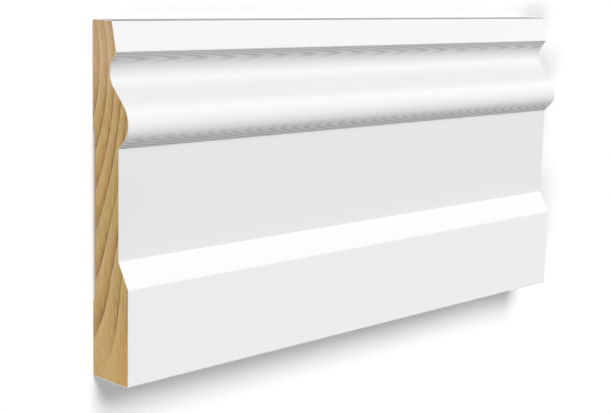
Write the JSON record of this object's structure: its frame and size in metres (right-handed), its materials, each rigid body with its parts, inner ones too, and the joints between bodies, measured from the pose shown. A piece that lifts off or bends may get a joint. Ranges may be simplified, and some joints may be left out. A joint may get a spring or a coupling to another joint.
{
  "type": "skirting board length",
  "caption": "Short length of painted softwood skirting board: an ogee and round moulding over a recessed panel and a bevelled plinth, with a relieved back.",
  "frame": {"origin": "on the back plane, midway between the two sawn ends and between the floor edge and the top edge, with the board lying on its back", "axes": "+X along the board, +Y across it from the floor edge to the top edge, +Z out of the back plane towards the moulded show face"},
  "size_m": [0.28, 0.14, 0.022],
  "materials": {
    "painted_pine": "white satin paint on the face and edges, bare pine on the sawn ends"
  },
  "bodies": {
    "root": {"skirting_board": "painted_pine"}
  },
  "joints": []
}
